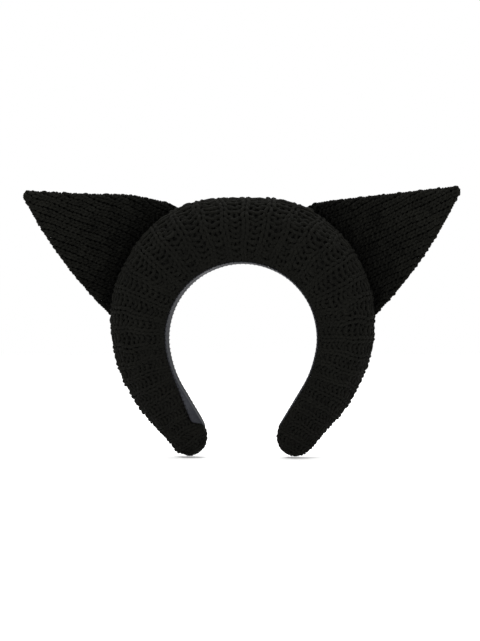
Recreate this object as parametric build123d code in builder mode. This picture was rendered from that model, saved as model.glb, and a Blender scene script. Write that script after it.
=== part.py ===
"""Padded rib-knit headband with two cat ears.

The origin is the centre of the head circle. +Z points up through the crown, +X to the right of a
person who faces the front of the band, and the front faces -Y.

The loop is one spring-plastic strip, wrapped in thick foam and a knit cover and lined with satin.
It flexes to go over a head, so it is cut at one bend on each side: a crown and two legs that turn
there, with soft bend pieces of foam and cover that squeeze between them.
"""

import os
from math import cos, radians, sin, sqrt

from build123d import *

os.makedirs("parts", exist_ok=True)

# --- The line of the lining, from the crown's centre down to a tip ---
HEAD_R = 60.0  # head circle, the face of the lining
ROUND_ANGLE = 100.0  # the lining leaves the circle this far from the top, in degrees
EASE_R = 87.0  # larger arc that eases the leg straight
STRAIGHT_ANGLE = 121.5  # the leg is straight from here on
STRAIGHT = 35.0  # straight run, up to the start of the rounded tip

# --- Thickness of each layer, counted outward from the lining's face ---
LINING = 0.8
COVER = 3.0
COVER_HEM = 2.2  # cover where it is turned in under the lining
HOOP = 2.0
LAYER_GAP = 0.1
HOOP_BASE = LINING + COVER_HEM + LAYER_GAP
PADDING_BASE = HOOP_BASE + HOOP + LAYER_GAP

# --- Widths, front to back ---
LINING_WIDTH = 30.0
LINING_TIP_WIDTH = 20.0
HOOP_WIDTH = 18.0
HEM_OPENING = 18.0  # between the two turned-in edges of the cover
HEM_THREAD = 0.7

# --- Outside of the loop: along the line, in mm, then thickness and depth there ---
CROWN_FORM = [
    (0.0, 53.5, 50.0),
    (20.0, 56.2, 50.0),
    (34.0, 56.8, 49.5),
    (60.0, 53.0, 48.0),
]
LEG_FORM = [
    (84.0, 48.4, 45.0),
    (105.0, 43.8, 41.0),
    (137.0, 38.4, 35.0),
    (172.0, 32.5, 28.0),
]
TIP_STEPS = (0.35, 0.65, 0.86, 0.96)  # shares of the rounded tip's length
UNDERCUT = 8.0  # more than the loft can stand inside the lining's line

# --- Bend on each side ---
BEND_ANGLE = 86.0  # where the hoop turns, in degrees from the top
BEND_OPEN = 7.5  # each face of the bend leans this far, so that the leg can open
BEND_GAP = 0.5  # from the bend's middle to each face, at the lining
SOFT_GAP = 0.15  # between a bend piece and the leg

# --- Ears, right-hand side: the front view, drawn on into the cover and then cut back ---
EAR_TIP = (176.0, 121.5)
EAR_TOP_BEND = (68.0, 109.6)  # the top edge is straight from the tip to here
EAR_TOP_ROOT = (42.0, 97.0)
EAR_LOW_MIDDLE = (144.5, 65.0)
EAR_LOW_ROOT = (99.0, 11.0)
EAR_CUT = (17.0, 52.5, 87.0)  # angles of the cut's two ends and its middle, from the top
EAR_PLANE = 3.0  # middle of the ear, behind the middle of the band
EAR_TIP_ROUND = 2.0
STIFFENER = 1.6
WADDING = 2.7
PANEL = 2.6
RIM = 1.6
RIM_DEPTH = 8.0
BASE_CLEAR = 1.3  # from the cover to the seam that holds the ear
BASE_SEAM = 4.0
BASE_PLAY = 0.3  # from the seam to the ear
STIFFENER_MARGIN = 6.0
WADDING_MARGIN = 4.0

ROUND_LENGTH = HEAD_R * radians(ROUND_ANGLE)
EASE_LENGTH = EASE_R * radians(STRAIGHT_ANGLE - ROUND_ANGLE)
LINE_LENGTH = ROUND_LENGTH + EASE_LENGTH + STRAIGHT
EASE_CENTRE = (
    (HEAD_R - EASE_R) * sin(radians(ROUND_ANGLE)),
    (HEAD_R - EASE_R) * cos(radians(ROUND_ANGLE)),
)
FORM = CROWN_FORM + LEG_FORM
TIP_LENGTH = FORM[-1][1] / 2


def on_line(along, out=0.0):
    """A point of the front view, this far along the lining's line and this far outside it."""
    if along <= ROUND_LENGTH:
        centre, radius, turn = (0.0, 0.0), HEAD_R, along / HEAD_R
    else:
        eased = min(along - ROUND_LENGTH, EASE_LENGTH)
        centre, radius = EASE_CENTRE, EASE_R
        turn = radians(ROUND_ANGLE) + eased / EASE_R
    past = max(along - ROUND_LENGTH - EASE_LENGTH, 0.0)
    x = centre[0] + (radius + out) * sin(turn) + past * cos(turn)
    z = centre[1] + (radius + out) * cos(turn) - past * sin(turn)
    return x, z, turn


def station(along):
    """The plane across the loop at a place on the line, with its x axis pointing outward."""
    x, z, turn = on_line(along)
    outward = (sin(turn), 0, cos(turn))
    onward = (cos(turn), 0, -sin(turn))
    return Plane(origin=(x, 0, z), x_dir=outward, z_dir=onward)


def lining_width_at(along):
    """The lining tapers from the bend to the tip."""
    start = HEAD_R * radians(BEND_ANGLE)
    share = max(along - start, 0.0) / (LINE_LENGTH - start)
    return LINING_WIDTH + (LINING_TIP_WIDTH - LINING_WIDTH) * share


def d_section(along, thickness, depth, shrink, inset, base):
    """An ellipse across the loop, cut flat on the lining's side. Shrink rounds off the tip."""
    flat = sqrt(1 - (lining_width_at(along) / depth) ** 2)
    half_thickness = thickness / (1 + flat)
    middle = thickness - half_thickness
    lift = thickness / 2 * (1 - shrink)
    with BuildSketch(station(along)) as section:
        with Locations((middle * shrink + lift, 0)):
            Ellipse(half_thickness * shrink - inset, depth / 2 * shrink - inset)
        with Locations((base * shrink + lift, 0)):
            Rectangle(
                2 * thickness,
                2 * depth,
                align=(Align.MIN, Align.CENTER),
                mode=Mode.INTERSECT,
            )
    return section.sketch


def half_loop(inset, base):
    """The right half of the loop's outside, or of a layer inside it, with a rounded tip."""
    sections = [d_section(*form, 1.0, inset, base) for form in FORM]
    last = FORM[-1]
    for step in TIP_STEPS:
        along = last[0] + (TIP_LENGTH - inset) * step
        shrink = sqrt(1 - step**2)
        sections.append(d_section(along, *last[1:], shrink, inset * shrink, base))
    with BuildPart() as half:
        loft(sections=sections)
    return half.part


def strip_face(low, high, start, end):
    """The front view of a strip that follows the line, between two distances outside it."""

    def side(out):
        middle = (start + min(end, ROUND_LENGTH)) / 2
        round_end = min(end, ROUND_LENGTH)
        ThreePointArc(
            on_line(start, out)[:2],
            on_line(middle, out)[:2],
            on_line(round_end, out)[:2],
        )
        if end > ROUND_LENGTH:
            straight = ROUND_LENGTH + EASE_LENGTH
            ThreePointArc(
                on_line(ROUND_LENGTH, out)[:2],
                on_line((ROUND_LENGTH + straight) / 2, out)[:2],
                on_line(straight, out)[:2],
            )
            Line(on_line(straight, out)[:2], on_line(end, out)[:2])

    with BuildSketch(Plane.XZ) as face:
        with BuildLine():
            side(low)
            side(high)
            Line(on_line(start, low)[:2], on_line(start, high)[:2])
            Line(on_line(end, low)[:2], on_line(end, high)[:2])
        make_face()
    return face.sketch


def side_outline(grow):
    """The lining from the side: parallel at the crown, tapering down the leg to a round end."""
    taper_z = on_line(HEAD_R * radians(BEND_ANGLE))[1]
    tip_z = on_line(LINE_LENGTH - LINING_TIP_WIDTH / 2)[1]
    wide = LINING_WIDTH / 2 + grow
    narrow = LINING_TIP_WIDTH / 2 + grow
    with BuildSketch(Plane.YZ) as outline:
        with BuildLine():
            Polyline(
                (-narrow, tip_z),
                (-wide, taper_z),
                (-wide, 2 * HEAD_R),
                (wide, 2 * HEAD_R),
                (wide, taper_z),
                (narrow, tip_z),
            )
            ThreePointArc((narrow, tip_z), (0, tip_z - narrow * 0.8), (-narrow, tip_z))
        make_face()
    return outline.sketch


def bend_face(side):
    """One face of the right bend: side is -1 for the crown's and 1 for the leg's."""
    x, z, turn = on_line(HEAD_R * radians(BEND_ANGLE))
    gap = side * BEND_GAP
    lean = turn + radians(side * BEND_OPEN)
    return Plane(
        origin=(x + gap * cos(turn), 0, z - gap * sin(turn)),
        x_dir=(sin(lean), 0, cos(lean)),
        z_dir=(cos(lean), 0, -sin(lean)),
    )


def finish(node, name):
    """Names a finished piece and writes it."""
    node.part.label = name
    export_step(node.part, f"parts/{name}.step")


CROWN_FACE = bend_face(-1)
LEG_FACE = bend_face(1)
BEND_PIECE_FACE = LEG_FACE.offset(-SOFT_GAP)
BEND_ALONG = HEAD_R * radians(BEND_ANGLE)
TIP_ALONG = LINE_LENGTH + TIP_LENGTH

# --- Layers of the right half, cut into crown, bend and leg below ---
lining_room = strip_face(-UNDERCUT, LINING, 0.0, TIP_ALONG)
hem_slot = strip_face(0.0, HOOP_BASE + HOOP, 0.0, LINE_LENGTH - HEM_OPENING / 2)
hoop_room = strip_face(0.0, PADDING_BASE, 0.0, LINE_LENGTH + LAYER_GAP)

with BuildPart() as half_cover:
    add(half_loop(0.0, 0.0))
    add(half_loop(COVER, LINING + COVER_HEM), mode=Mode.SUBTRACT)
    extrude(lining_room, amount=HEAD_R, both=True, mode=Mode.SUBTRACT)
    extrude(hem_slot, amount=HEM_OPENING / 2, both=True, mode=Mode.SUBTRACT)

with BuildPart() as half_padding:
    add(half_loop(COVER + LAYER_GAP, HOOP_BASE))
    extrude(
        hoop_room, amount=HOOP_WIDTH / 2 + LAYER_GAP, both=True, mode=Mode.SUBTRACT
    )

# --- Knit cover and padding: crown, one bend piece and one leg on each side ---
for layer, half in (("cover", half_cover), ("padding", half_padding)):
    with BuildPart() as crown:
        add(half.part)
        split(bisect_by=CROWN_FACE, keep=Keep.BOTTOM)
        mirror(about=Plane.YZ)
    finish(crown, f"{layer}_crown")

    with BuildPart() as right_bend:
        add(half.part)
        split(bisect_by=CROWN_FACE, keep=Keep.TOP)
        split(bisect_by=BEND_PIECE_FACE, keep=Keep.BOTTOM)
    finish(right_bend, f"{layer}_right_bend")

    with BuildPart() as left_bend:
        mirror(right_bend.part, about=Plane.YZ)
    finish(left_bend, f"{layer}_left_bend")

    with BuildPart() as right_leg:
        add(half.part)
        split(bisect_by=LEG_FACE, keep=Keep.TOP)
    finish(right_leg, f"{layer}_right_leg")

    with BuildPart() as left_leg:
        mirror(right_leg.part, about=Plane.YZ)
    finish(left_leg, f"{layer}_left_leg")

# --- Hoop: flat spring-plastic strip with round ends ---
with BuildPart() as hoop_crown:
    extrude(
        strip_face(HOOP_BASE, HOOP_BASE + HOOP, 0.0, BEND_ALONG - BEND_GAP),
        amount=HOOP_WIDTH / 2,
        both=True,
    )
    mirror(about=Plane.YZ)
finish(hoop_crown, "hoop_crown")

with BuildPart() as hoop_right_leg:
    extrude(
        strip_face(
            HOOP_BASE, HOOP_BASE + HOOP, BEND_ALONG + BEND_GAP, LINE_LENGTH
        ),
        amount=HOOP_WIDTH / 2,
        both=True,
    )
    tip_corners = (
        hoop_right_leg.edges()
        .filter_by(lambda edge: abs(edge.length - HOOP) < 0.01)
        .sort_by(Axis.Z)[:2]
    )
    fillet(tip_corners, radius=HOOP_WIDTH / 2 - 0.5)
finish(hoop_right_leg, "hoop_right_leg")

with BuildPart() as hoop_left_leg:
    mirror(hoop_right_leg.part, about=Plane.YZ)
finish(hoop_left_leg, "hoop_left_leg")

# --- Satin lining, and the thread that hems it to the cover along both edges ---
with BuildPart() as lining_crown:
    extrude(
        strip_face(0.0, LINING, 0.0, BEND_ALONG - BEND_GAP),
        amount=LINING_WIDTH / 2,
        both=True,
    )
    mirror(about=Plane.YZ)
finish(lining_crown, "lining_crown")

with BuildPart() as lining_right_leg:
    extrude(
        strip_face(0.0, LINING, BEND_ALONG + BEND_GAP, TIP_ALONG),
        amount=LINING_WIDTH,
        both=True,
    )
    extrude(
        side_outline(0.0), amount=2 * HEAD_R, both=True, mode=Mode.INTERSECT
    )
finish(lining_right_leg, "lining_right_leg")

with BuildPart() as lining_left_leg:
    mirror(lining_right_leg.part, about=Plane.YZ)
finish(lining_left_leg, "lining_left_leg")

with BuildPart() as hem_seam_crown:
    extrude(
        strip_face(LINING - HEM_THREAD, LINING, 0.0, BEND_ALONG - BEND_GAP),
        amount=LINING_WIDTH / 2 + HEM_THREAD,
        both=True,
    )
    extrude(
        strip_face(-LINING, 2 * LINING, 0.0, BEND_ALONG),
        amount=LINING_WIDTH / 2,
        both=True,
        mode=Mode.SUBTRACT,
    )
    mirror(about=Plane.YZ)
finish(hem_seam_crown, "hem_seam_crown")

with BuildPart() as hem_seam_right_leg:
    extrude(
        strip_face(LINING - HEM_THREAD, LINING, BEND_ALONG + BEND_GAP, TIP_ALONG),
        amount=LINING_WIDTH,
        both=True,
    )
    extrude(
        side_outline(HEM_THREAD), amount=2 * HEAD_R, both=True, mode=Mode.INTERSECT
    )
    extrude(
        side_outline(0.0), amount=2 * HEAD_R, both=True, mode=Mode.SUBTRACT
    )
finish(hem_seam_right_leg, "hem_seam_right_leg")

with BuildPart() as hem_seam_left_leg:
    mirror(hem_seam_right_leg.part, about=Plane.YZ)
finish(hem_seam_left_leg, "hem_seam_left_leg")


# --- Ears ---
def cover_radius(angle):
    """The outline of the cover above the bend, from the thickness between two stations."""
    along = HEAD_R * radians(angle)
    for low, high in zip(FORM, FORM[1:]):
        if low[0] <= along <= high[0]:
            share = (along - low[0]) / (high[0] - low[0])
            return HEAD_R + low[1] + (high[1] - low[1]) * share


def base_point(angle, clear):
    """A point this far outside the cover."""
    radius = cover_radius(angle) + clear
    return radius * sin(radians(angle)), radius * cos(radians(angle))


def cover_zone(clear, forward):
    """The front view of the part of the loop under the right ear, and this much round it."""
    top, middle, low = (base_point(angle, clear) for angle in EAR_CUT)
    with BuildSketch(Plane.XZ.offset(forward)) as zone:
        with BuildLine():
            ThreePointArc(top, middle, low)
            Polyline(low, (0, 0), top)
        make_face()
    return zone.sketch


def ear_face(clear, margin, forward):
    """The front view of the right ear, cut back from the cover and from its own edges."""
    with BuildSketch(Plane.XZ.offset(forward - EAR_PLANE)) as face:
        with BuildLine():
            straight = Line(EAR_TIP, EAR_TOP_BEND)
            TangentArc(EAR_TOP_BEND, EAR_TOP_ROOT, tangent=straight % 1)
            ThreePointArc(EAR_LOW_ROOT, EAR_LOW_MIDDLE, EAR_TIP)
            Line(EAR_TOP_ROOT, EAR_LOW_ROOT)
        make_face()
        fillet(face.vertices().sort_by(Axis.X)[-1], EAR_TIP_ROUND)
        if margin:
            offset(amount=-margin, mode=Mode.REPLACE)
        add(cover_zone(clear, forward - EAR_PLANE), mode=Mode.SUBTRACT)
    return face.sketch


def finish_pair(right, name):
    """Writes a right-hand piece and its mirror image."""
    finish(right, f"right_{name}")
    with BuildPart() as left:
        mirror(right.part, about=Plane.YZ)
    finish(left, f"left_{name}")


EAR_CLEAR = BASE_CLEAR + BASE_SEAM + BASE_PLAY
WADDING_FACE = STIFFENER / 2 + WADDING
PANEL_FACE = WADDING_FACE + PANEL
EAR_LAYERS = {
    "ear_stiffener": (-STIFFENER / 2, STIFFENER, STIFFENER_MARGIN),
    "ear_front_wadding": (STIFFENER / 2, WADDING, WADDING_MARGIN),
    "ear_back_wadding": (-WADDING_FACE, WADDING, WADDING_MARGIN),
    "ear_front_panel": (WADDING_FACE, PANEL, RIM),
    "ear_back_panel": (-PANEL_FACE, PANEL, RIM),
}

for name, (near, thickness, margin) in EAR_LAYERS.items():
    with BuildPart() as layer:
        extrude(ear_face(EAR_CLEAR, margin, near), amount=thickness)
    finish_pair(layer, name)

with BuildPart() as rim_seam:
    extrude(ear_face(EAR_CLEAR, 0.0, -RIM_DEPTH / 2), amount=RIM_DEPTH)
    extrude(
        ear_face(BASE_CLEAR, RIM, -RIM_DEPTH),
        amount=2 * RIM_DEPTH,
        mode=Mode.SUBTRACT,
    )
finish_pair(rim_seam, "ear_rim_seam")

with BuildPart() as base_seam:
    extrude(ear_face(BASE_CLEAR, 0.0, -PANEL_FACE), amount=2 * PANEL_FACE)
    extrude(
        cover_zone(BASE_CLEAR + BASE_SEAM, 0.0),
        amount=HEAD_R,
        both=True,
        mode=Mode.INTERSECT,
    )
finish_pair(base_seam, "ear_base_seam")
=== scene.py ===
"""Looks of the knit cat-ear headband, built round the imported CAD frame.

Lengths are in mm and become metres where a mesh is made. A place on the band's skin is a signed path
along the loop, negative on the left, and an angle around its section. Every knit row is a tube of
two-ply yarn.
"""

from math import ceil, cos, floor, pi, radians, sin, tau

import bpy
import numpy as np
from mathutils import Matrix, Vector


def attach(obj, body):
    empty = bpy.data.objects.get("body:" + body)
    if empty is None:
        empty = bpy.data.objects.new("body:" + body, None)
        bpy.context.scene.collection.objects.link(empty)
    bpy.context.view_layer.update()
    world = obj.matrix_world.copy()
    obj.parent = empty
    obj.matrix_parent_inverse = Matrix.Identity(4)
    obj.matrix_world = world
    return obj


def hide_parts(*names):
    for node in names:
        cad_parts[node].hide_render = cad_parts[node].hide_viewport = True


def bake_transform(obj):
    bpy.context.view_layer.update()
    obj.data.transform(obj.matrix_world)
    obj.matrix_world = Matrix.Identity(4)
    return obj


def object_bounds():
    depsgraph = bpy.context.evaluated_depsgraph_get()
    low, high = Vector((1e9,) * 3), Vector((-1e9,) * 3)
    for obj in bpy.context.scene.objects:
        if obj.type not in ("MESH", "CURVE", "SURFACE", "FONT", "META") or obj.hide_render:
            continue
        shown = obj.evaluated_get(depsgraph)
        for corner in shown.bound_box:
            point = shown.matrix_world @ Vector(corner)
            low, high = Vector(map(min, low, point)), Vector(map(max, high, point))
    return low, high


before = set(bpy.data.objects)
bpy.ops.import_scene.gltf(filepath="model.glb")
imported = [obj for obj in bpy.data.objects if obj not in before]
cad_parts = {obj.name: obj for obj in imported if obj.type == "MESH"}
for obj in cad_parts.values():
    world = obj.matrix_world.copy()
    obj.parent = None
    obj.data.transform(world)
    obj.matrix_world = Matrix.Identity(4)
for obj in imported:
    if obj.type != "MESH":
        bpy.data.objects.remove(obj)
cad_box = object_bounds()

MM = 0.001

# --- Form of the loop, as in the CAD source ---
HEAD_R = 60.0
ROUND_ANGLE = radians(100.0)
EASE_R = 87.0
STRAIGHT_ANGLE = radians(121.5)
STRAIGHT = 35.0
ROUND_LENGTH = HEAD_R * ROUND_ANGLE
EASE_LENGTH = EASE_R * (STRAIGHT_ANGLE - ROUND_ANGLE)
LINE_LENGTH = ROUND_LENGTH + EASE_LENGTH + STRAIGHT
EASE_CENTRE = ((HEAD_R - EASE_R) * sin(ROUND_ANGLE), (HEAD_R - EASE_R) * cos(ROUND_ANGLE))
FORM = np.array([
    (0.0, 53.5, 50.0), (20.0, 56.2, 50.0), (34.0, 56.8, 49.5), (60.0, 53.0, 48.0),
    (84.0, 48.4, 45.0), (105.0, 43.8, 41.0), (137.0, 38.4, 35.0), (172.0, 32.5, 28.0),
])
TIP_START = FORM[-1, 0]
TIP_R = FORM[-1, 1] / 2
LINING_WIDTH, LINING_TIP_WIDTH = 30.0, 20.0
TAPER_START = HEAD_R * radians(86.0)
FLOOR_SOFT = 1.2  # rounds the knit where it turns in under the lining

# --- Lining ---
ROUND_FROM = LINE_LENGTH - 11.0  # where its round end starts
ROUND_END = 10.0
LINING_TOP = -0.35  # its inner face, out from the loop's inner line
LINING_BACK = 0.75  # its hidden face
EDGE_RISE = 0.55
PUCKER, PUCKER_PITCH = 0.16, 3.6
DRAPE = 0.12
LINING_COLUMNS = 25
WRAP = 6.0  # its front edge comes this far over the knit, low on the left leg
WRAP_FROM, WRAP_FULL = 118.0, 172.0
WRAP_END, WRAP_CLOSE = LINE_LENGTH - 1.5, 7.0
WRAP_R = 15.0
WRAP_OFF = 0.3  # from the knit's outside to the lining on it

# --- Hem thread ---
STITCH_FROM, STITCH_TO, STITCH_PITCH = 1.8, LINE_LENGTH - 13.0, 3.6
STITCH_SLANT, STITCH_REACH, STITCH_IN = 1.5, 2.3, 1.0
THREAD_R, THREAD_TWIST = 0.27, 1.4

# --- Band knit ---
HALF_WALES = 38
ROWS = 30
RIB_PITCH_AT = (0.0, 60.0, 90.0, 120.0, 150.0, 200.0)
RIB_PITCH = (10.9, 10.5, 9.2, 9.1, 10.6, 11.0)
KNIT_SHARE_AT = (0.0, 60.0, 100.0, 200.0)  # a raised knit wale's share of its rib
KNIT_SHARE = (0.40, 0.41, 0.46, 0.48)
KNIT_END = TIP_START + TIP_R * 1.18
HEM_IN = 0.14  # how far the knit runs in under the lining, as an angle
ROW_CLOSE_AT, ROW_CLOSE = LINE_LENGTH + 2.5, 7.0  # the rows close over the tip, past the lining's end
FIRST_ROW = 1.6
YARN_R = 1.36
FINE_AT, FINE = (50.0, 110.0, 172.0), (1.12, 0.95, 0.8)  # the yarn packs tighter down the legs
RIB_RAISE_AT = (40.0, 110.0)
RIB_RAISE = (0.25, 0.4)  # a knit wale stands this far out, and a purl wale this far in
LOOP_DEPTH = 0.78
LEAN = 0.18
REACH = 1.42  # height of a loop, in rows
YARN_BASE = 2.5  # from the CAD outside in to the middle of the knit
HEM_LIFT = 1.1  # how much nearer the outside the knit is under the lining
HEM_FLAT = 0.65  # how much flatter it is there
TIP_SLIM = 0.72  # yarn and loops at the end of the tips, as a share of the rest
JITTER_PATH, JITTER_ROW, JITTER_LIFT = 0.34, 0.13, 0.22  # from stitch to stitch
WANDER_PATH, WANDER_ROW, WANDER_LIFT = 0.55, 0.12, 0.25  # slow, over many stitches
SHARED_SEED = 11  # the slow unevenness runs on from one piece of knit to the next
SAMPLES = 16
SIDES = 8
PLY_TWIST = 5.2
PLY_DEPTH = 0.13
GATHER_FROM, GATHER_TURNS, GATHER_IN, GATHER_R = 1.05, 3.3, 1.9, 1.25
PADDING_IN, PADDING_SWELL = 3.45, 2.2

# --- Ears, right-hand side ---
EAR_TIP = (176.0, 121.5)
EAR_TOP_BEND = (68.0, 109.6)
EAR_TOP_ROOT = (42.0, 97.0)
EAR_LOW_MIDDLE = (144.5, 65.0)
EAR_TIP_R = 3.6
EAR_LOW_ROOT = (99.0, 11.0)
EAR_PLANE = 3.0
EAR_AXIS = radians(25.0)
EAR_WALE = 5.0
EAR_COURSE = 3.8
EAR_YARN_R = 1.18
EAR_REACH_ROWS = 1.34
EAR_PINCH = 0.065
EAR_LEAN = 0.19
EAR_ROOT_PAINTED_SHADE = (1.45, 34.0)  # painted shade: how much darker an ear is painted at its root, where the band shades it, and over what height
EAR_JITTER_WALE, EAR_JITTER_ROW, EAR_JITTER_LIFT = 0.05, 0.11, 0.16  # from stitch to stitch
EAR_WANDER_WALE, EAR_WANDER_ROW, EAR_WANDER_LIFT = 0.07, 0.10, 0.2  # slow, over many stitches
EAR_ARCH, EAR_LOOP = 0.6, 0.85  # how far a loop's head stands out, and how deep it dips
EAR_EXTRA_ROWS = 16  # below the outline, so that the rows reach every root
EAR_EDGE = 1.5
EAR_RIM_R = 2.6
EAR_HALF = 4.5
EAR_SWELL = 9.0
EAR_ROOT_DEPTH = 5.0
EAR_MIDDLE = (91.0, 70.0)  # middle of the root
EAR_PRESSED = (0.22, 7.0)  # how much thinner the ear is at the band, and over what distance
STUFFING_MIDDLE = (112.0, 82.0)
STUFFING_IN = 1.35  # from the knit's faces to the stuffing
RIM_STEP, RIM_PITCH, RIM_COIL = 0.55, 4.2, 1.15
RIM_CORE_R, RIM_WRAP_R = 0.9, 0.72
BASE_FROM, BASE_TO, BASE_PITCH = radians(29.0), radians(77.0), radians(2.6)
BASE_HIGH, BASE_LOW = EAR_HALF * 0.8 + 0.9, EAR_HALF + 2.8  # from the ear's plane
BASE_LEAN = radians(1.1)
BASE_R = 0.7
LEFT_FULLER, LEFT_LOWER, LEFT_LONGER = 3.2, 2.4, 4.0
LEFT_FULL_AT, LEFT_FULL_SPAN = 92.0, 26.0


# --- Meshes ---
def unit(vectors):
    return vectors / np.maximum(np.linalg.norm(vectors, axis=-1, keepdims=True), 1e-9)


def ladder(count):
    """Quads that close a ring with an even number of corners."""
    return np.array([(k, k + 1, count - 2 - k, count - 1 - k) for k in range(count // 2 - 1)])


def ring_quads(rows, rings, sides):
    """Faces of closed tubes stored as rows, then rings, then sides, with both ends closed."""
    first = (np.arange(rows) * rings * sides)[:, None, None]
    ring = (np.arange(rings - 1) * sides)[None, :, None]
    side = np.arange(sides)[None, None, :]
    after = (np.arange(sides) + 1) % sides
    here, there = first + ring + side, first + ring + after[None, None, :]
    walls = np.stack([here, here + sides, there + sides, there], -1).reshape(-1, 4)
    cap = ladder(sides)[None]
    starts = (first + cap).reshape(-1, 4)
    ends = (first + (rings - 1) * sides + cap[..., ::-1]).reshape(-1, 4)
    return np.concatenate([walls, starts, ends])


def yarn_tubes(centre, normal, radius, sides=SIDES, twist=PLY_TWIST, ply_depth=PLY_DEPTH):
    """Corners of twisted yarn along rows of points, and how high each corner's ply stands."""
    along = unit(np.gradient(centre, axis=1))
    across = unit(np.cross(along, normal))
    up = np.cross(across, along)
    steps = np.linalg.norm(np.diff(centre, axis=1), axis=-1)
    length = np.concatenate([np.zeros((len(centre), 1)), np.cumsum(steps, axis=1)], axis=1)
    angle = tau * np.arange(sides) / sides
    ply = np.cos(2 * (angle[None, None] - tau * length[..., None] / twist))
    reach = (np.asarray(radius)[..., None] * (1 + ply_depth * ply))[..., None]
    turned = np.cos(angle)[:, None] * across[..., None, :] + np.sin(angle)[:, None] * up[..., None, :]
    return centre[..., None, :] + reach * turned, ply


class Heap:
    """Gathers tubes of different lengths into one mesh."""

    def __init__(self):
        self.points, self.quads, self.marks, self.count = [], [], [], 0

    def add(self, points, quads, marks):
        self.points.append(points.reshape(-1, 3))
        self.quads.append(quads + self.count)
        self.marks.append(marks.reshape(-1, 3))
        self.count += self.points[-1].shape[0]

    def yarn(self, centre, normal, radius, depth=1.0, tone=0.5, **how):
        """One strand, or several of the same number of points."""
        centre, normal = np.asarray(centre, float), np.asarray(normal, float)
        if centre.ndim == 2:
            centre, normal = centre[None], normal[None]
        radius = np.broadcast_to(radius, centre.shape[:2])
        corners, ply = yarn_tubes(centre, normal, radius, **how)
        # marks: ply height, how far the yarn stands out and its tone; the yarn material paints ply
        # grooves and recessed yarn darker as painted shade, and tone also carries painted shade at the
        # ear roots
        marks = np.empty(ply.shape + (3,))
        marks[..., 0] = ply
        marks[..., 1] = np.broadcast_to(depth, centre.shape[:2])[..., None]
        marks[..., 2] = np.broadcast_to(tone, centre.shape[:2])[..., None]
        rows, rings, sides = ply.shape
        self.add(corners, ring_quads(rows, rings, sides), marks)

    def make(self, name):
        points, quads = np.concatenate(self.points) * MM, np.concatenate(self.quads)
        return new_piece(name, points, quads, np.concatenate(self.marks))


def new_piece(name, points, quads, marks=None):
    mesh = bpy.data.meshes.new(name)
    mesh.vertices.add(len(points))
    mesh.vertices.foreach_set("co", points.astype(np.float32).ravel())
    mesh.loops.add(quads.size)
    mesh.loops.foreach_set("vertex_index", quads.astype(np.int32).ravel())
    mesh.polygons.add(len(quads))
    mesh.polygons.foreach_set("loop_start", np.arange(0, quads.size, 4, dtype=np.int32))
    mesh.polygons.foreach_set("use_smooth", np.ones(len(quads), bool))
    mesh.update(calc_edges=True)
    if marks is not None:
        mesh.attributes.new("yarn", "FLOAT_VECTOR", "POINT")
        mesh.attributes["yarn"].data.foreach_set("vector", marks.astype(np.float32).ravel())
    piece = bpy.data.objects.new(name, mesh)
    bpy.context.scene.collection.objects.link(piece)
    return piece


# --- The band's skin ---
def form_at(along, column):
    """Thickness or depth of the loop, smooth between the stations."""
    at, values = FORM[:, 0], FORM[:, column]
    slopes = np.gradient(values, at)
    slopes[0] = 0.0
    cell = np.clip(np.searchsorted(at, along, side="right") - 1, 0, len(at) - 2)
    width = at[cell + 1] - at[cell]
    t = np.clip((along - at[cell]) / width, 0.0, 1.0)
    low = (1 + 2 * t) * values[cell] + t * width * slopes[cell]
    high = (3 - 2 * t) * values[cell + 1] + (t - 1) * width * slopes[cell + 1]
    return (1 - t) ** 2 * low + t**2 * high


def lining_width(along):
    share = np.clip((along - TAPER_START) / (LINE_LENGTH - TAPER_START), 0.0, 1.08)
    return LINING_WIDTH + (LINING_TIP_WIDTH - LINING_WIDTH) * share


def line_point(path_side, along, out):
    """x and z of a point of the front view, this far along the lining and this far outside it."""
    eased = along > ROUND_LENGTH
    eased_by = np.minimum(along - ROUND_LENGTH, EASE_LENGTH)
    turn = np.where(eased, ROUND_ANGLE + eased_by / EASE_R, along / HEAD_R)
    radius = np.where(eased, EASE_R, HEAD_R) + out
    past = np.maximum(along - ROUND_LENGTH - EASE_LENGTH, 0.0)
    x = np.where(eased, EASE_CENTRE[0], 0.0) + radius * np.sin(turn) + past * np.cos(turn)
    z = np.where(eased, EASE_CENTRE[1], 0.0) + radius * np.cos(turn) - past * np.sin(turn)
    return path_side * x, z


def skin(path, around):
    """Outside of the loop. The angle runs from the lining over the front, the outside and the back."""
    side = np.where(path < 0, -1.0, 1.0)
    run = np.abs(path)
    tip = np.clip((run - TIP_START) / TIP_R, 0.0, pi / 2)
    along = np.minimum(run, TIP_START) + TIP_R * np.sin(tip)
    shrink = np.cos(tip)
    thick = form_at(np.minimum(along, TIP_START), 1)
    depth = form_at(np.minimum(along, TIP_START), 2)
    flat = np.sqrt(1 - (lining_width(along) / depth) ** 2)
    half = thick / (1 + flat)
    base = thick / 2 * (1 - shrink)
    rise = (thick - half) * shrink - half * shrink * np.cos(around)
    soft = FLOOR_SOFT * shrink
    out = base + (rise + np.sqrt(rise**2 + soft**2)) / 2
    x, z = line_point(side, along, out)
    return np.stack([x, -depth / 2 * shrink * np.sin(around), z], -1)


def skin_frame(path, around):
    """Points of the skin and the directions that face out of it."""
    ahead = skin(path + 0.05, around) - skin(path - 0.05, around)
    round_it = skin(path, around + 0.002) - skin(path, around - 0.002)
    return skin(path, around), unit(np.cross(ahead, round_it))


def hem_angle(path):
    """Angle at which the lining's edge meets the knit."""
    along = np.minimum(np.abs(path), TIP_START + TIP_R)
    return np.arcsin(lining_width(along) / form_at(np.minimum(along, TIP_START), 2))


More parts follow.
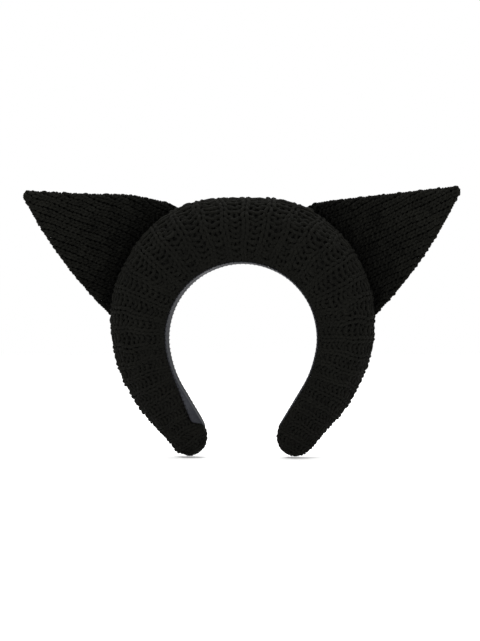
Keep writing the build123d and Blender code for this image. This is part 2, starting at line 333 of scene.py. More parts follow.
def path_of_wale(wale):
    fine = np.linspace(0.0, KNIT_END, 500)
    middles = (fine[1:] + fine[:-1]) / 2
    pitch = np.interp(middles, RIB_PITCH_AT, RIB_PITCH)
    ribs = np.concatenate([[0.0], np.cumsum(np.diff(fine) / pitch)])
    ribs = ribs * HALF_WALES / 2 / ribs[-1]
    size = np.abs(wale) / 2
    rib, part = np.floor(size), 2 * (size - np.floor(size))
    share = np.interp(np.interp(rib + 0.5, ribs, fine), KNIT_SHARE_AT, KNIT_SHARE)
    share = np.where(wale < 0, 1 - share, share)
    part = np.where(part < 1, part * share, share + (part - 1) * (1 - share))
    return np.sign(wale) * np.interp(rib + part, ribs, fine)


def row_edge(path):
    """Angle of the lining's edge, closing to nothing past the lining's end."""
    closing = np.clip((ROW_CLOSE_AT - np.abs(path)) / ROW_CLOSE, 0.0, 1.0)
    return hem_angle(path) * closing * (2 - closing)


def around_of_row(row, path):
    edge = row_edge(path)
    start = edge - np.minimum(HEM_IN, edge)
    return start + (tau - 2 * start) * row / ROWS


def near_hem(path, around, reach):
    """1 under the lining and at its edges, and 0 from that angle past them."""
    edge = row_edge(path)
    past = np.minimum(around, tau - around) - edge
    t = np.clip(1 - past / reach, 0.0, 1.0) * np.clip(edge / 0.4, 0.0, 1.0)
    return t * t * (3 - 2 * t)


# --- Band knit ---
def wander(rng, rows, steps):
    """Slow unevenness over rows and wales, about one unit in size."""
    waves = np.zeros((len(rows), len(steps)))
    for _ in range(9):
        over_rows, over_steps = rng.uniform(0.05, 0.22, 2) * rng.choice((-1, 1), 2)
        turns = rows[:, None] * over_rows + steps[None] * over_steps
        waves += np.sin(tau * turns + rng.uniform(0, tau))
    return waves / 2.1


def band_knit(name, first, last, seed):
    """Knit rows over a range of wales, which are stacked ribs of knit and purl across the band."""
    rng = np.random.default_rng(seed)
    count = last - first
    steps = np.linspace(first, last, count * SAMPLES + 1)
    wale = np.minimum(np.floor(steps + 1e-9), last - 1).astype(int)
    theta = tau * (steps - wale)
    raised = np.where(wale % 2 == 0, 1.0, -1.0)
    bell = np.sin(theta / 2) ** 2
    rows = np.arange(ROWS - 1)
    jitter = rng.normal(0, 1, (3, len(rows), count))[:, :, wale - first]
    shared = np.random.default_rng(SHARED_SEED)
    slow_row, slow_path, slow_lift = (wander(shared, rows, steps) for _ in range(3))
    at_wale = steps + LEAN * np.sin(2 * theta)
    even_path = path_of_wale(at_wale)
    path = even_path[None] + JITTER_PATH * jitter[0] * bell + WANDER_PATH * slow_path
    row = rows[:, None] + FIRST_ROW - (1 - np.cos(theta)) / 2 * REACH
    row = row + JITTER_ROW * jitter[1] * bell + WANDER_ROW * slow_row
    raise_by = np.interp(np.abs(even_path), RIB_RAISE_AT, RIB_RAISE)
    lift = raised * np.sin(theta / 2) * (raise_by - LOOP_DEPTH * np.cos(2 * theta))
    tip_room = np.clip((TIP_START + TIP_R * pi / 2 - np.abs(path)) / (TIP_R * pi / 2), 0.0, 1.0)
    slim = TIP_SLIM + (1 - TIP_SLIM) * tip_room**0.6
    around = around_of_row(row, path)
    hem = near_hem(path, around, 0.3)
    lift = lift[None] * slim + JITTER_LIFT * jitter[2] * bell + WANDER_LIFT * slow_lift
    lift = lift * (1 - HEM_FLAT * hem)
    points, normals = skin_frame(path, around)
    centre = points + normals * (lift - (YARN_BASE - HEM_LIFT * hem) * slim)[..., None]
    fine = np.interp(np.abs(path), FINE_AT, FINE)
    radius = YARN_R * slim * fine * (1 + 0.05 * jitter[2] * bell)
    heap = Heap()
    # painted light and shade: depth comes from how far each loop stands out, so the yarn material
    # paints raised loops lighter and recesses darker
    depth = 0.5 + 0.25 * lift
    tone = 0.5 + 0.18 * jitter[1] * bell
    heap.yarn(centre, normals, radius, depth, tone)
    return heap.make(name)


def tip_gather(name, side):
    """The cover's end, drawn together over the tip in shrinking rings of yarn."""
    heap = Heap()
    steps = np.linspace(0.0, 1.0, 220)
    tip_angle = GATHER_FROM + (pi / 2 - GATHER_FROM) * steps
    path = side * (TIP_START + TIP_R * tip_angle)
    around = tau * GATHER_TURNS * steps + 0.7
    bumps = 0.35 * np.sin(around * 7)
    points, normals = skin_frame(path, around)
    centre = points + normals * (bumps - GATHER_IN)[:, None]
    heap.yarn(centre, normals, GATHER_R, 0.6, 0.5)
    return heap.make(name)


# --- Band padding, seen between the stitches ---
def band_padding(name, side):
    stations, sides = 110, 64
    over_tip = TIP_START + TIP_R * np.linspace(0.05, 1.0, 16) * 1.4
    run = np.concatenate([np.linspace(0.0, TIP_START, stations), over_tip])
    angles = tau * np.arange(sides) / sides
    path, around = np.meshgrid(side * np.maximum(run, 1e-6), angles, indexing="ij")
    points, normals = skin_frame(path, around)
    uneven = 0.25 * np.sin(path / 3.1 + 2 * np.sin(around * 3)) * np.sin(around * 9 + path / 5.3)
    under = near_hem(path, around, 0.25)
    points = points - normals * (PADDING_IN + uneven - PADDING_SWELL * under)[..., None]
    quads = ring_quads(1, len(run), sides)
    if side > 0:
        quads = quads[:, ::-1]
    return new_piece(name, points.reshape(-1, 3) * MM, quads)


# --- Lining and its hem ---
def lining_reach(along):
    """Half the lining's width, with its round end."""
    past = np.clip((along - ROUND_FROM) / ROUND_END, 0.0, 1.0)
    return lining_width(along) / 2 * np.sqrt(np.maximum(1 - past**2, 0.0))


def lining_wrap(side, along):
    """How far the lining's front edge comes up over the knit, low on the left leg."""
    if side > 0:
        return np.zeros_like(along)
    rise = np.clip((along - WRAP_FROM) / (WRAP_FULL - WRAP_FROM), 0.0, 1.0)
    close = np.clip((WRAP_END - along) / WRAP_CLOSE, 0.0, 1.0)
    return WRAP * rise * rise * (3 - 2 * rise) * np.sqrt(close)


def lining_place(side, along, across, out):
    """Point at a distance across the lining; past its flat it lies on the skin of the knit."""
    half = lining_width(along) / 2
    x, z = line_point(np.full_like(along, side), along, out)
    flat = np.stack([x, np.clip(across, -half, half), z], -1)
    past = np.maximum(np.abs(across) - half, 0.0)
    around = hem_angle(side * along) + past / WRAP_R
    points, normals = skin_frame(side * along, np.where(across > 0, tau - around, around))
    wrapped = points + normals * (WRAP_OFF - out)[..., None]
    return np.where((past > 0)[..., None], wrapped, flat)


def lining_half(name, side):
    """One half of the ribbon, as a closed strip with an inner face and a hidden one."""
    over_end = ROUND_FROM + ROUND_END * np.sin(np.linspace(0.08, 0.995, 16) * pi / 2)
    run = np.concatenate([np.linspace(0.0, ROUND_FROM, 330), over_end])
    column = np.linspace(-1, 1, LINING_COLUMNS)
    shares = np.concatenate([column, column[::-1][1:-1]])
    along, share = np.meshgrid(run, shares, indexing="ij")
    inner = np.arange(len(shares)) < LINING_COLUMNS
    reach = lining_reach(along) + np.where(share < 0, lining_wrap(side, along), 0.0)
    edge = np.abs(share) ** 6
    pucker = PUCKER * edge * np.sin(tau * along / PUCKER_PITCH) * (1 - 0.4 * np.abs(share) ** 30)
    drape = DRAPE * np.sin(along / 6.3 + 1.7 * share) * np.sin(along / 17.0) * (1 - edge)
    face_out = LINING_TOP + EDGE_RISE * np.abs(share) ** 10 + pucker + drape
    out = np.where(inner, face_out, LINING_BACK)
    points = lining_place(side, along, share * reach, out)
    quads = ring_quads(1, len(run), len(shares))
    if side < 0:
        quads = quads[:, ::-1]
    return new_piece(name, points.reshape(-1, 3) * MM, quads)


def hem_stitches(name, side, seed):
    """Short slanted thread stitches that hold the lining's two edges down on the knit."""
    rng = np.random.default_rng(seed)
    heap = Heap()
    starts = np.arange(STITCH_FROM, STITCH_TO, STITCH_PITCH)
    t = np.linspace(0.0, 1.0, 9)[None]
    for edge in (-1.0, 1.0):
        along = starts[:, None] + STITCH_SLANT * t + rng.normal(0, 0.12, (len(starts), 1))
        wrap = lining_wrap(side, along) if edge < 0 else 0.0
        across = edge * (lining_width(along) / 2 + wrap - STITCH_IN + STITCH_REACH * t)
        out = 0.35 - 0.95 * np.sin(pi * t) + 0.7 * t
        centre = lining_place(side, along, across, out)
        normal = lining_place(side, along, across, out - 1.0) - centre
        heap.yarn(centre, normal, THREAD_R, 0.8, 0.5, sides=6, twist=THREAD_TWIST, ply_depth=0.1)
    return heap.make(name)


# --- Ears ---
def circle_through(a, b, c):
    """Centre of the circle through three points."""
    (ax, ay), (bx, by), (cx, cy) = a, b, c
    d = 2 * (ax * (by - cy) + bx * (cy - ay) + cx * (ay - by))
    a2, b2, c2 = ax * ax + ay * ay, bx * bx + by * by, cx * cx + cy * cy
    return np.array((
        (a2 * (by - cy) + b2 * (cy - ay) + c2 * (ay - by)) / d,
        (a2 * (cx - bx) + b2 * (ax - cx) + c2 * (bx - ax)) / d,
    ))


def arc_points(centre, a, b, count):
    a, b = np.array(a) - centre, np.array(b) - centre
    start = np.arctan2(a[1], a[0])
    turn = (np.arctan2(b[1], b[0]) - start + pi) % tau - pi
    angles = start + turn * np.linspace(0.0, 1.0, count)
    return centre + np.hypot(*a) * np.stack([np.cos(angles), np.sin(angles)], -1)


def ear_outline():
    """The ear's two free edges: from the root of the top edge over the tip to the low root."""
    tip, bend, root = (np.array(p) for p in (EAR_TIP, EAR_TOP_BEND, EAR_TOP_ROOT))
    run = unit(bend - tip)
    across = np.array((-run[1], run[0]))
    chord = root - bend
    centre = bend + across * (chord @ chord) / (2 * (chord @ across))
    top = arc_points(centre, root, bend, 24)
    straight = bend + (tip - bend) * np.linspace(0.0, 1.0, 90)[1:, None]
    low_centre = circle_through(EAR_LOW_ROOT, EAR_LOW_MIDDLE, EAR_TIP)
    low = arc_points(low_centre, EAR_TIP, EAR_LOW_ROOT, 110)
    back_up, back_down = unit(bend - tip), unit(low[6] - tip)
    half_angle = np.arccos(back_up @ back_down) / 2
    cut = EAR_TIP_R / np.tan(half_angle)
    round_centre = tip + unit(back_up + back_down) * EAR_TIP_R / sin(half_angle)
    rounded = arc_points(round_centre, tip + back_up * cut, tip + back_down * cut, 14)
    straight = straight[np.linalg.norm(straight - tip, axis=1) > cut + 0.3]
    low = low[np.linalg.norm(low - tip, axis=1) > cut + 0.3]
    return np.concatenate([top, straight, rounded, low])


OUTLINE = ear_outline()
EAR_WAY = unit(np.array(EAR_TIP) - EAR_MIDDLE)
EAR_REACH = (OUTLINE @ EAR_WAY).max()
RIM_ARC = EAR_RIM_R * pi / 2


def to_outline(planar):
    """Distance in from the free edges, the nearest point of them and the direction inward."""
    a, b = OUTLINE[:-1], OUTLINE[1:]
    run = b - a
    best = np.full(len(planar), 1e9)
    foot, inward = np.zeros_like(planar), np.zeros_like(planar)
    sign = np.ones(len(planar))
    for start, way in zip(a, run):
        t = np.clip((planar - start) @ way / (way @ way), 0.0, 1.0)
        near = start + t[:, None] * way
        gap = np.linalg.norm(planar - near, axis=1)
        closer = gap < best
        face = np.array((way[1], -way[0])) / np.hypot(*way)
        best[closer] = gap[closer]
        foot[closer] = near[closer]
        inward[closer] = face
        sign[closer] = np.where((planar - near)[closer] @ face < 0, -1.0, 1.0)
    return best * sign, foot, inward


def cover_radius(angle):
    return HEAD_R + form_at(HEAD_R * np.abs(angle), 1)


def clear_of_cover(planar):
    """How far points of the front view are outside the band."""
    angle = np.arctan2(planar[:, 0], planar[:, 1])
    return np.hypot(planar[:, 0], planar[:, 1]) - cover_radius(angle)


def ear_wave(planar):
    """Gentle bow of the flat ear out of its plane."""
    return 0.5 * np.sin(planar[:, 0] / 19.0) * np.sin(planar[:, 1] / 15.0 + 1.0)


def ear_place(planar, front, raise_by):
    """Puts points of the flat ear on one face of the stuffed one, rounded over at the edges.

    Also gives the directions that face out there, how far in from the free edges each point is and
    how far outside the band.
    """
    distance, foot, inward = to_outline(planar)
    inset = distance - EAR_EDGE + RIM_ARC - EAR_RIM_R
    turned = np.clip(inset / EAR_RIM_R, 0.0, pi / 2)
    past = np.maximum(inset - RIM_ARC, 0.0) / EAR_SWELL
    grown = (EAR_HALF - EAR_RIM_R) * (1 - (1 + past) * np.exp(-past))
    slope = (EAR_HALF - EAR_RIM_R) * past * np.exp(-past) / EAR_SWELL
    height = EAR_RIM_R * np.sin(turned) + grown
    round_in = EAR_EDGE + EAR_RIM_R * (1 - np.cos(turned))
    x_z = np.where((inset < RIM_ARC)[:, None], foot + inward * round_in[:, None], planar)
    clear = clear_of_cover(planar)
    height = height * (1 - EAR_PRESSED[0] * np.exp(-np.maximum(clear, 0.0) / EAR_PRESSED[1]))
    facing = -1.0 if front else 1.0
    normal = np.zeros((len(planar), 3))
    flat_part = np.where(inset < RIM_ARC, np.cos(turned), slope)
    normal[:, 0] = -inward[:, 0] * flat_part
    normal[:, 2] = -inward[:, 1] * flat_part
    normal[:, 1] = facing * np.where(inset < RIM_ARC, np.sin(turned), 1.0)
    normal = unit(normal)
    y = EAR_PLANE + facing * height + ear_wave(planar)
    points = np.stack([x_z[:, 0], y, x_z[:, 1]], -1)
    return points + normal * raise_by[:, None], normal, inset, clear


def on_side(points, mirrored):
    """Keeps the right ear, or mirrors it with the left one's fuller top and longer, lower tip."""
    if not mirrored:
        return points
    x, z = points[..., 0], points[..., 2]
    near_top = np.exp(-((x - LEFT_FULL_AT) / LEFT_FULL_SPAN) ** 2)
    fuller = LEFT_FULLER * near_top * np.clip((z - 45.0) / 50.0, 0.0, 1.0)
    lower = LEFT_LOWER * np.clip((x - 120.0) / 56.0, 0.0, 1.0) ** 2
    longer = LEFT_LONGER * np.clip((x - 105.0) / 70.0, 0.0, 1.0)
    return np.stack([-x - longer, points[..., 1], z + fuller - lower], -1)


def ear_panel(name, mirrored, front, seed):
    """One knitted face of an ear: wales run from the band to the tip, rows across them."""
    rng = np.random.default_rng(seed)
    axis = np.array((cos(EAR_AXIS), sin(EAR_AXIS)))
    across = np.array((-axis[1], axis[0]))
    on_rows, on_wales = OUTLINE @ axis / EAR_COURSE, OUTLINE @ across / EAR_WALE
    low_row, high_row = floor(on_rows.min()) - EAR_EXTRA_ROWS, ceil(on_rows.max())
    low_wale, high_wale = floor(on_wales.min()) - 1, ceil(on_wales.max()) + 1
    steps = np.linspace(low_wale, high_wale, (high_wale - low_wale) * SAMPLES + 1)
    wale = np.floor(steps + 1e-9).astype(int)
    theta = tau * (steps - wale)
    bell = np.sin(theta / 2) ** 2
    heap = Heap()
    rows = np.arange(low_row, high_row + 1)
    jitter = rng.normal(0, 1, (3, len(rows), high_wale - low_wale + 1))
    jitter = jitter[:, :, wale - low_wale]
    slow_wale, slow_row, slow_lift = (wander(rng, rows, steps) for _ in range(3))
    at_wale = steps + EAR_PINCH * np.sin(theta) + EAR_LEAN * np.sin(2 * theta)
    rise = (1 - np.cos(theta)) / 2
    at_wale = at_wale[None] + EAR_JITTER_WALE * jitter[0] * bell + EAR_WANDER_WALE * slow_wale
    at_row = rows[:, None] + rise * EAR_REACH_ROWS
    at_row = at_row + EAR_JITTER_ROW * jitter[1] * bell + EAR_WANDER_ROW * slow_row
    h, g = EAR_WALE * at_wale, EAR_COURSE * at_row
    lift = EAR_ARCH * rise - EAR_LOOP * np.cos(2 * theta)
    lift = lift + EAR_JITTER_LIFT * jitter[2] * bell + EAR_WANDER_LIFT * slow_lift
    planar = (g[..., None] * axis + h[..., None] * across).reshape(-1, 2)
    points, normals, inset, clear = ear_place(planar, front, lift.ravel() - 0.2)
    shape = g.shape
    beyond = planar @ EAR_WAY > EAR_REACH
    kept = ((inset > 0.0) & (clear > -EAR_ROOT_DEPTH) & ~beyond).reshape(shape)
    points = on_side(points.reshape(shape + (3,)), mirrored)
    normals = normals.reshape(shape + (3,))
    if mirrored:
        normals = normals * (-1, 1, 1)
    # painted shade: the ear's colour is made darker towards its root, where the band shades it, fading
    # with the height above the band
    painted_root_shade = EAR_ROOT_PAINTED_SHADE[0] * np.exp(-np.maximum(clear, 0.0) / EAR_ROOT_PAINTED_SHADE[1]).reshape(shape)
    # tone: random from stitch to stitch, less the painted shade at the root
    tone = 0.5 + 0.18 * jitter[1] * bell - painted_root_shade
    # painted light and shade: depth comes from how far each loop stands out, so the yarn material
    # paints raised loop heads lighter and dips darker
    depth = 0.5 + 0.3 * lift
    for index in range(len(rows)):
        edges = np.flatnonzero(np.diff(np.concatenate([[0], kept[index].astype(int), [0]])))
        for start, end in zip(edges[::2], edges[1::2]):
            if end - start < 5:
                continue
            part = (index, slice(start, end))
            heap.yarn(points[part], normals[part], EAR_YARN_R, depth[part], tone[part])
    return heap.make(name)


def resample(line, spacing):
    """Points at even spacing along a line."""
    steps = np.linalg.norm(np.diff(line, axis=0), axis=1)
    length = np.concatenate([[0.0], np.cumsum(steps)])
    at = np.linspace(0.0, length[-1], int(length[-1] / spacing) + 1)
    return np.stack([np.interp(at, length, line[:, k]) for k in range(2)], -1), at


def ear_rim(name, mirrored):
    """The sewn edge that joins the two faces: small stitches that wrap a seam round the outline."""
    line, at = resample(OUTLINE, RIM_STEP)
    way = unit(np.gradient(line, axis=0))
    inward = np.stack([way[:, 1], -way[:, 0]], -1)
    kept = clear_of_cover(line) > -EAR_ROOT_DEPTH
    line, inward, at = line[kept], inward[kept], at[kept]
    turn = tau * at / RIM_PITCH
    heap = Heap()
    core, wraps = (0.0, 0.0, RIM_CORE_R), [(RIM_COIL, phase, RIM_WRAP_R) for phase in (0.0, pi)]
    for radius, phase, yarn in (core, *wraps):
        away = EAR_EDGE + 0.15 - radius * np.cos(turn + phase)
        spot = line + inward * away[:, None]
        y = EAR_PLANE + ear_wave(line) + 1.5 * radius * np.sin(turn + phase)
        centre = np.stack([spot[:, 0], y, spot[:, 1]], -1)
        normal = np.stack([-inward[:, 0], np.zeros(len(line)), -inward[:, 1]], -1)
        centre = on_side(centre, mirrored)
        if mirrored:
            normal = normal * (-1, 1, 1)
        heap.yarn(centre, normal, yarn, 0.7, 0.5)
    return heap.make(name)


def ear_wadding(name, mirrored):
    """The stuffed inside of an ear, just under the knit."""
    angles = np.linspace(radians(84.0), radians(20.0), 60)
    radius = cover_radius(angles) - EAR_ROOT_DEPTH
    base = np.stack([radius * np.sin(angles), radius * np.cos(angles)], -1)
    outline = OUTLINE[clear_of_cover(OUTLINE) > -EAR_ROOT_DEPTH]
    ring = np.concatenate([outline, base])
    ring = resample(np.concatenate([ring, ring[:1]]), 1.6)[0][:-1]
    ring = ring[: len(ring) // 2 * 2]
    middle = np.array(STUFFING_MIDDLE)
    shares = 1 - np.linspace(0.0, 0.96, 34) ** 1.2
    layers = []
    for front, order in ((True, slice(None, None, -1)), (False, slice(None))):
        for share in shares[order]:
            planar = middle + (ring - middle) * (0.035 + 0.955 * share)
            layers.append(ear_place(planar, front, np.full(len(planar), -STUFFING_IN))[0])
    points = on_side(np.concatenate(layers), mirrored)
    quads = ring_quads(1, len(layers), len(ring))
    if mirrored:
        quads = quads[:, ::-1]
    return new_piece(name, points * MM, quads)


def ear_base(name, mirrored, seed):
    """Yarn stitches that sew each face of an ear down to the band."""
    rng = np.random.default_rng(seed)
    heap = Heap()
    t = np.linspace(0.0, 1.0, 15)
    for facing in (-1.0, 1.0):
        for angle in np.arange(BASE_FROM, BASE_TO, BASE_PITCH):
            lean = BASE_LEAN * t + rng.normal(0, 0.004)
            high = cover_radius(angle) + 2.4 + rng.normal(0, 0.3)
            y = EAR_PLANE + facing * (BASE_HIGH + (BASE_LOW - BASE_HIGH) * t + 0.6 * np.sin(pi * t))
            half_depth = form_at(np.array([HEAD_R * angle]), 2)[0] / 2
            share = np.sqrt(np.maximum(1 - ((EAR_PLANE + facing * BASE_LOW) / half_depth) ** 2, 0.0))
            low = cover_radius(angle) - half_depth * (1 - share) - 1.6
            radius = high + (low - high) * t + 1.1 * np.sin(pi * t)
            x_out, z_out = np.sin(angle + lean), np.cos(angle + lean)
            centre = np.stack([radius * x_out, y, radius * z_out], -1)
            normal = np.stack([x_out * 0.5, np.full(len(t), facing), z_out * 0.5], -1)
            if mirrored:
                centre, normal = centre * (-1, 1, 1), normal * (-1, 1, 1)
            # painted shade: these stitches get the darkest depth and tone values, as they sit in the
            # shade where the ear meets the band
            heap.yarn(centre, normal, BASE_R, 0.1, -0.6)
    return heap.make(name)


# --- Materials ---
def principled(name, **sockets):
    material = bpy.data.materials.new(name)
    material.use_nodes = True
    shader = material.node_tree.nodes["Principled BSDF"]
    for socket, value in sockets.items():
        shader.inputs[socket.replace("_", " ")].default_value = value
    return material, material.node_tree.nodes, material.node_tree.links, shader


def grain(nodes, links, scale, detail, stretch=(1.0, 1.0, 1.0)):
    """Noise in object space, at a scale per metre."""
    place = nodes.new("ShaderNodeTexCoord")
    mapping = nodes.new("ShaderNodeMapping")
    mapping.inputs["Scale"].default_value = stretch
    links.new(place.outputs["Object"], mapping.inputs["Vector"])
    noise = nodes.new("ShaderNodeTexNoise")
    noise.inputs["Scale"].default_value = scale
    noise.inputs["Detail"].default_value = detail
    links.new(mapping.outputs["Vector"], noise.inputs["Vector"])
    return noise


def ramp(nodes, links, source, low, high, start=0.0, end=1.0):
    blend = nodes.new("ShaderNodeValToRGB")
    blend.color_ramp.elements[0].position, blend.color_ramp.elements[1].position = start, end
    blend.color_ramp.elements[0].color = (*low, 1.0)
    blend.color_ramp.elements[1].color = (*high, 1.0)
    links.new(source, blend.inputs["Fac"])
    return blend


def math_node(nodes, links, operation, a, b):
    node = nodes.new("ShaderNodeMath")
    node.operation = operation
    for socket, value in zip(node.inputs, (a, b)):
        if isinstance(value, float):
            socket.default_value = value
        else:
            links.new(value, socket)
    return node.outputs["Value"]


def bump(nodes, links, shader, height, strength, distance):
    node = nodes.new("ShaderNodeBump")
    node.inputs["Strength"].default_value = strength
    node.inputs["Distance"].default_value = distance
    links.new(height, node.inputs["Height"])
    links.new(node.outputs["Normal"], shader.inputs["Normal"])


def yarn_material(name, dark, light, sheen, shine):
    """Brushed wool: two plies, fine fibres, and a little more light on what stands out."""
    material, nodes, links, shader = principled(
        name, Sheen_Weight=sheen, Sheen_Roughness=0.45, Sheen_Tint=(0.86, 0.84, 0.80, 1.0),
        Specular_IOR_Level=shine,
    )
    marks = nodes.new("ShaderNodeAttribute")
    marks.attribute_name = "yarn"
    parts = nodes.new("ShaderNodeSeparateXYZ")
    links.new(marks.outputs["Vector"], parts.inputs["Vector"])
    fibres = grain(nodes, links, 2600.0, 6.0)
    patches = grain(nodes, links, 60.0, 2.0)
    # painted shade: the ply value makes the grooves between the plies darker
    ply = math_node(nodes, links, "MULTIPLY", parts.outputs["X"], 0.16)
    # painted light and shade: yarn that stands out is lighter, recessed yarn darker
    depth = math_node(nodes, links, "MULTIPLY", parts.outputs["Y"], 0.30)
    # tone: random from stitch to stitch, and on the ears and their base stitches also painted shade
    # near the band
    tone = math_node(nodes, links, "MULTIPLY", parts.outputs["Z"], 0.30)
    mottle = math_node(nodes, links, "MULTIPLY", fibres.outputs["Fac"], 0.34)
    patch = math_node(nodes, links, "MULTIPLY", patches.outputs["Fac"], 0.20)
    total = math_node(nodes, links, "ADD", ply, depth)
    total = math_node(nodes, links, "ADD", total, tone)
    total = math_node(nodes, links, "ADD", total, mottle)
    total = math_node(nodes, links, "ADD", total, patch)
    colour = ramp(nodes, links, total, dark, light, 0.2, 1.15)
    links.new(colour.outputs["Color"], shader.inputs["Base Color"])
    rough = ramp(nodes, links, fibres.outputs["Fac"], (0.78,) * 3, (0.98,) * 3, 0.3, 0.7)
    links.new(rough.outputs["Color"], shader.inputs["Roughness"])
    plies = math_node(nodes, links, "MULTIPLY", parts.outputs["X"], 0.35)
    height = math_node(nodes, links, "ADD", plies, fibres.outputs["Fac"])
    bump(nodes, links, shader, height, 0.9, 0.00035)
    return material


def foam_material(name, dark, light):
    material, nodes, links, shader = principled(
        name, Sheen_Weight=0.01, Sheen_Roughness=0.6, Specular_IOR_Level=0.04
    )
    cells = nodes.new("ShaderNodeTexVoronoi")
    cells.inputs["Scale"].default_value = 900.0
    place = nodes.new("ShaderNodeTexCoord")
    links.new(place.outputs["Object"], cells.inputs["Vector"])
    colour = ramp(nodes, links, cells.outputs["Distance"], dark, light, 0.1, 0.8)
    links.new(colour.outputs["Color"], shader.inputs["Base Color"])
    rough = ramp(nodes, links, cells.outputs["Distance"], (0.85,) * 3, (1.0,) * 3)
    links.new(rough.outputs["Color"], shader.inputs["Roughness"])
    bump(nodes, links, shader, cells.outputs["Distance"], 0.6, 0.0004)
    return material


def satin_material(name):
    """Close satin weave: long floats along the strip with a soft, cool shine."""
    material, nodes, links, shader = principled(
        name, Sheen_Weight=0.002, Sheen_Roughness=0.3, Anisotropic=0.45, Specular_IOR_Level=0.02,
    )
    floats = grain(nodes, links, 1400.0, 3.0, (0.35, 2.6, 0.35))
    cloud = grain(nodes, links, 70.0, 3.0)
    mix = math_node(nodes, links, "MULTIPLY", floats.outputs["Fac"], cloud.outputs["Fac"])
    colour = ramp(nodes, links, mix, (0.015, 0.0157, 0.0183), (0.029, 0.0303, 0.0352), 0.1, 0.45)
    links.new(colour.outputs["Color"], shader.inputs["Base Color"])
    rough = ramp(nodes, links, floats.outputs["Fac"], (0.46,) * 3, (0.62,) * 3, 0.25, 0.75)
    links.new(rough.outputs["Color"], shader.inputs["Roughness"])
    bump(nodes, links, shader, floats.outputs["Fac"], 0.5, 0.0001)
    return material


def plastic_material(name):
    material, nodes, links, shader = principled(name, Specular_IOR_Level=0.5)
    flow = grain(nodes, links, 420.0, 4.0, (1.0, 0.2, 1.0))
    dark, light = (0.014, 0.014, 0.015), (0.022, 0.022, 0.023)
    colour = ramp(nodes, links, flow.outputs["Fac"], dark, light, 0.3, 0.7)
    links.new(colour.outputs["Color"], shader.inputs["Base Color"])
    rough = ramp(nodes, links, flow.outputs["Fac"], (0.32,) * 3, (0.46,) * 3, 0.3, 0.7)
    links.new(rough.outputs["Color"], shader.inputs["Roughness"])
    bump(nodes, links, shader, flow.outputs["Fac"], 0.2, 0.0001)
    return material


band_wool = yarn_material(
    "band_wool", (0.0010, 0.0010, 0.0008), (0.0057, 0.0057, 0.0045), sheen=0.011, shine=0.045,
)
ear_wool = yarn_material(
    "ear_wool", (0.0004, 0.0004, 0.0003), (0.0084, 0.0084, 0.0069), sheen=0.009, shine=0.025,
)
thread = yarn_material(
    "hem_thread", (0.002, 0.002, 0.002), (0.008, 0.008, 0.0085), sheen=0.012, shine=0.05,
)
foam = foam_material("dark_foam", (0.0012, 0.0012, 0.0010), (0.0030, 0.0030, 0.0026))
fleece = foam_material("dark_wadding", (0.0004, 0.0004, 0.0004), (0.0012, 0.0012, 0.0011))
satin = satin_material("satin_lining")
plastic = plastic_material("spring_plastic")


def dress(piece, material):
    piece.data.materials.append(material)
    return piece


def bend_at_leg(piece):
    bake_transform(piece)


def bend_at_ear(piece):
    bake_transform(piece)


# --- Pieces ---
WALE_CUTS = (0, 15, 30, HALF_WALES)
for side_name, side in (("left", -1), ("right", 1)):
    for number, (near, far) in enumerate(zip(WALE_CUTS, WALE_CUTS[1:])):
        first, last = (near, far) if side > 0 else (-far, -near)
        label = ("crown", "shoulder", "leg")[number]
        piece = band_knit(f"{side_name}_{label}_rib_knit", first, last, 20 + number + 10 * side)
        dress(piece, band_wool)
        bend_at_leg(piece)
    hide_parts("cover_crown")
    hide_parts(f"cover_{side_name}_bend")
    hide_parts(f"cover_{side_name}_leg")

    gather = dress(tip_gather(f"{side_name}_tip_gather", side), band_wool)
    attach(gather, f"{side_name}_leg")

    padding = dress(band_padding(f"{side_name}_band_padding", side), foam)
    bend_at_leg(padding)
    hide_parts("padding_crown", f"padding_{side_name}_bend", f"padding_{side_name}_leg")

    lining = dress(lining_half(f"{side_name}_lining", side), satin)
    bend_at_leg(lining)
    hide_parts("lining_crown", f"lining_{side_name}_leg")

    hem = dress(hem_stitches(f"{side_name}_hem_stitches", side, 40 + side), thread)
    bend_at_leg(hem)
    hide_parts("hem_seam_crown", f"hem_seam_{side_name}_leg")

    mirrored = side < 0
    for face, front in (("front", True), ("back", False)):
        panel = ear_panel(f"{side_name}_ear_{face}_knit", mirrored, front, 60 + 2 * side + front)
        dress(panel, ear_wool)
        bend_at_ear(panel)
        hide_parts(f"{side_name}_ear_{face}_panel")
    rim = dress(ear_rim(f"{side_name}_ear_rim_stitches", mirrored), ear_wool)
    bend_at_ear(rim)
    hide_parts(f"{side_name}_ear_rim_seam")
    stuffing = dress(ear_wadding(f"{side_name}_ear_stuffing", mirrored), fleece)
    bend_at_ear(stuffing)
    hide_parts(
        f"{side_name}_ear_front_wadding", f"{side_name}_ear_back_wadding",
        f"{side_name}_ear_stiffener",
    )
    base = dress(ear_base(f"{side_name}_ear_base_stitches", mirrored, 80 + side), ear_wool)
    bend_at_ear(base)
    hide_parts(f"{side_name}_ear_base_seam")

for node in ("hoop_crown", "hoop_left_leg", "hoop_right_leg"):
    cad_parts[node].data.materials.clear()
    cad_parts[node].data.materials.append(plastic)

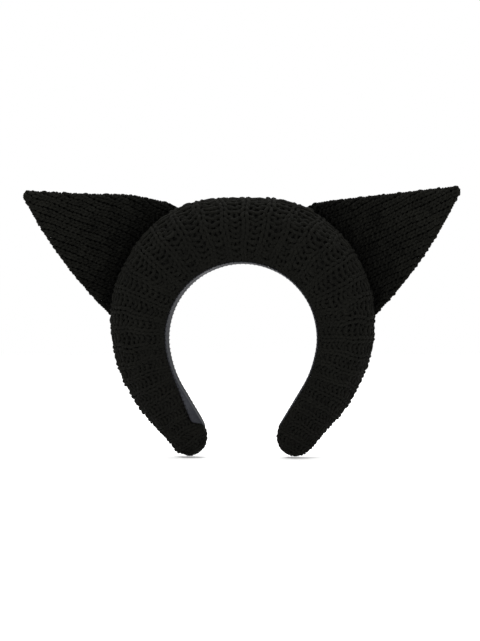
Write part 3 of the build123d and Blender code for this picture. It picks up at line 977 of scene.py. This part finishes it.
# --- Floor, light and camera ---
FLOOR_GAP = 0.0008
floor_z = cad_box[0].z - FLOOR_GAP
bpy.ops.mesh.primitive_plane_add(size=6.0, location=(0.0, 0.0, floor_z))
ground = bpy.context.object
ground.name = "pale_floor"
paper, nodes, links, shader = principled("pale_paper", Roughness=0.9, Specular_IOR_Level=0.1)
paper_grain = grain(nodes, links, 90.0, 4.0)
paper_colour = ramp(nodes, links, paper_grain.outputs["Fac"], (0.93,) * 3, (0.95,) * 3)
links.new(paper_colour.outputs["Color"], shader.inputs["Base Color"])
ground.data.materials.append(paper)

world = bpy.data.worlds.new("studio")
bpy.context.scene.world = world
world.use_nodes = True
world.node_tree.nodes["Background"].inputs["Color"].default_value = (1.0, 1.0, 1.0, 1.0)
world.node_tree.nodes["Background"].inputs["Strength"].default_value = 1.0


def soft_light(name, place, aim, size, power):
    lamp = bpy.data.lights.new(name, "AREA")
    lamp.shape = "DISK"
    lamp.size = size
    lamp.energy = power
    holder = bpy.data.objects.new(name, lamp)
    holder.location = place
    holder.rotation_mode = "QUATERNION"
    holder.rotation_quaternion = (Vector(aim) - Vector(place)).to_track_quat("-Z", "Y")
    bpy.context.scene.collection.objects.link(holder)


soft_light("key", (-0.7, -1.3, 1.5), (0.0, 0.0, 0.03), 0.9, 26.0)
soft_light("fill", (1.2, -1.2, 0.5), (0.0, 0.0, 0.0), 1.2, 9.0)
soft_light("top", (0.1, 0.3, 1.6), (0.0, 0.0, 0.03), 0.8, 22.0)

CAMERA_AIM = Vector((-0.0016, 0.0, 0.014))
CAMERA_YAW = radians(3.0)
camera = bpy.data.cameras.new("camera")
camera.lens = 70.2
camera.sensor_width = 36.0
camera_holder = bpy.data.objects.new("camera", camera)
back = Vector((sin(CAMERA_YAW), -cos(CAMERA_YAW), 0.0))
camera_holder.location = CAMERA_AIM + back
camera_holder.rotation_mode = "QUATERNION"
camera_holder.rotation_quaternion = (-back).to_track_quat("-Z", "Y")
bpy.context.scene.collection.objects.link(camera_holder)
bpy.context.scene.camera = camera_holder
bpy.context.scene.view_settings.view_transform = "Standard"
bpy.context.scene.view_settings.look = "None"
